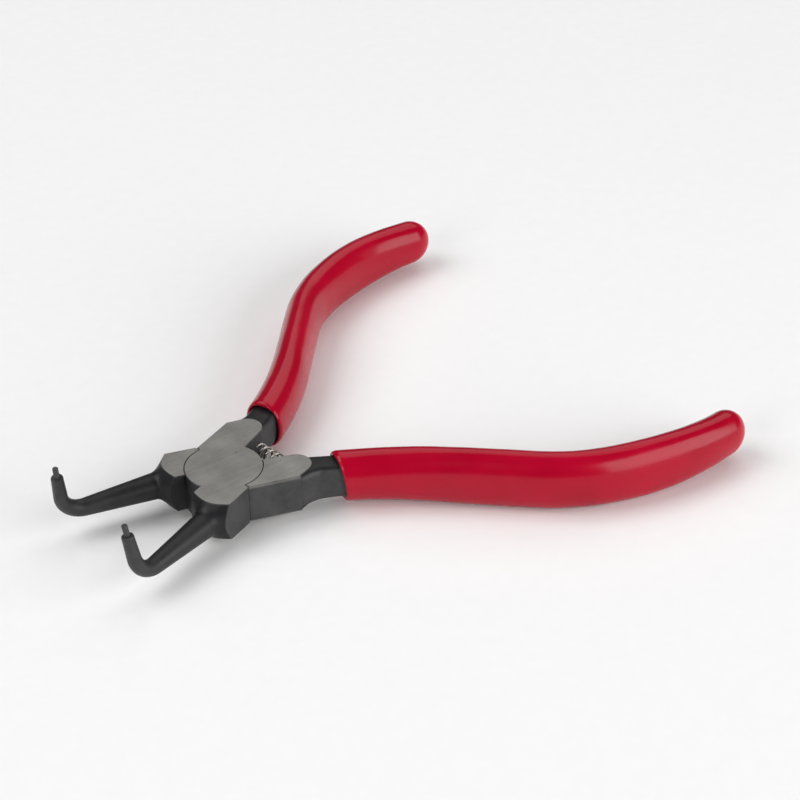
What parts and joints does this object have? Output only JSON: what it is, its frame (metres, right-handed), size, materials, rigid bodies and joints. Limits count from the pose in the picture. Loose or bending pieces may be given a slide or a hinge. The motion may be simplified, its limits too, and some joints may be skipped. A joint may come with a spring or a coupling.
{
  "type": "circlip pliers",
  "caption": "Circlip pliers for internal rings: crossed lap-jointed levers with upturned tip pins, an opening spring between the handles and dipped red grips.",
  "frame": {"origin": "on the pivot axis, at the underside of the head", "axes": "+X from the pivot to the handles, +Y to the far handle, +Z the way the bent tips point"},
  "size_m": [0.1273, 0.1126, 0.018],
  "materials": {
    "forged_steel": "forged, phosphated black and oiled; top flats ground bright",
    "ground_steel": "ground flush with the head",
    "spring_wire": "drawn spring wire",
    "pin_steel": "hardened and blackened",
    "dipped_pvc": "glossy dipped PVC"
  },
  "bodies": {
    "upper": {"upper_lever": "forged_steel", "pivot_rivet": "ground_steel", "return_spring": "spring_wire", "upper_tip_pin": "pin_steel", "upper_grip": "dipped_pvc"},
    "lower": {"lower_lever": "forged_steel", "lower_tip_pin": "pin_steel", "lower_grip": "dipped_pvc"}
  },
  "joints": [
    {"name": "pivot", "type": "hinge", "parent": "upper", "child": "lower", "pos_m": [0, 0, 0], "axis": [0, 0, 1], "range_deg": [0, 38], "stiffness_Nm_per_rad": 0.58, "springref_deg": -6.88, "deforming": ["return_spring"]}
  ]
}
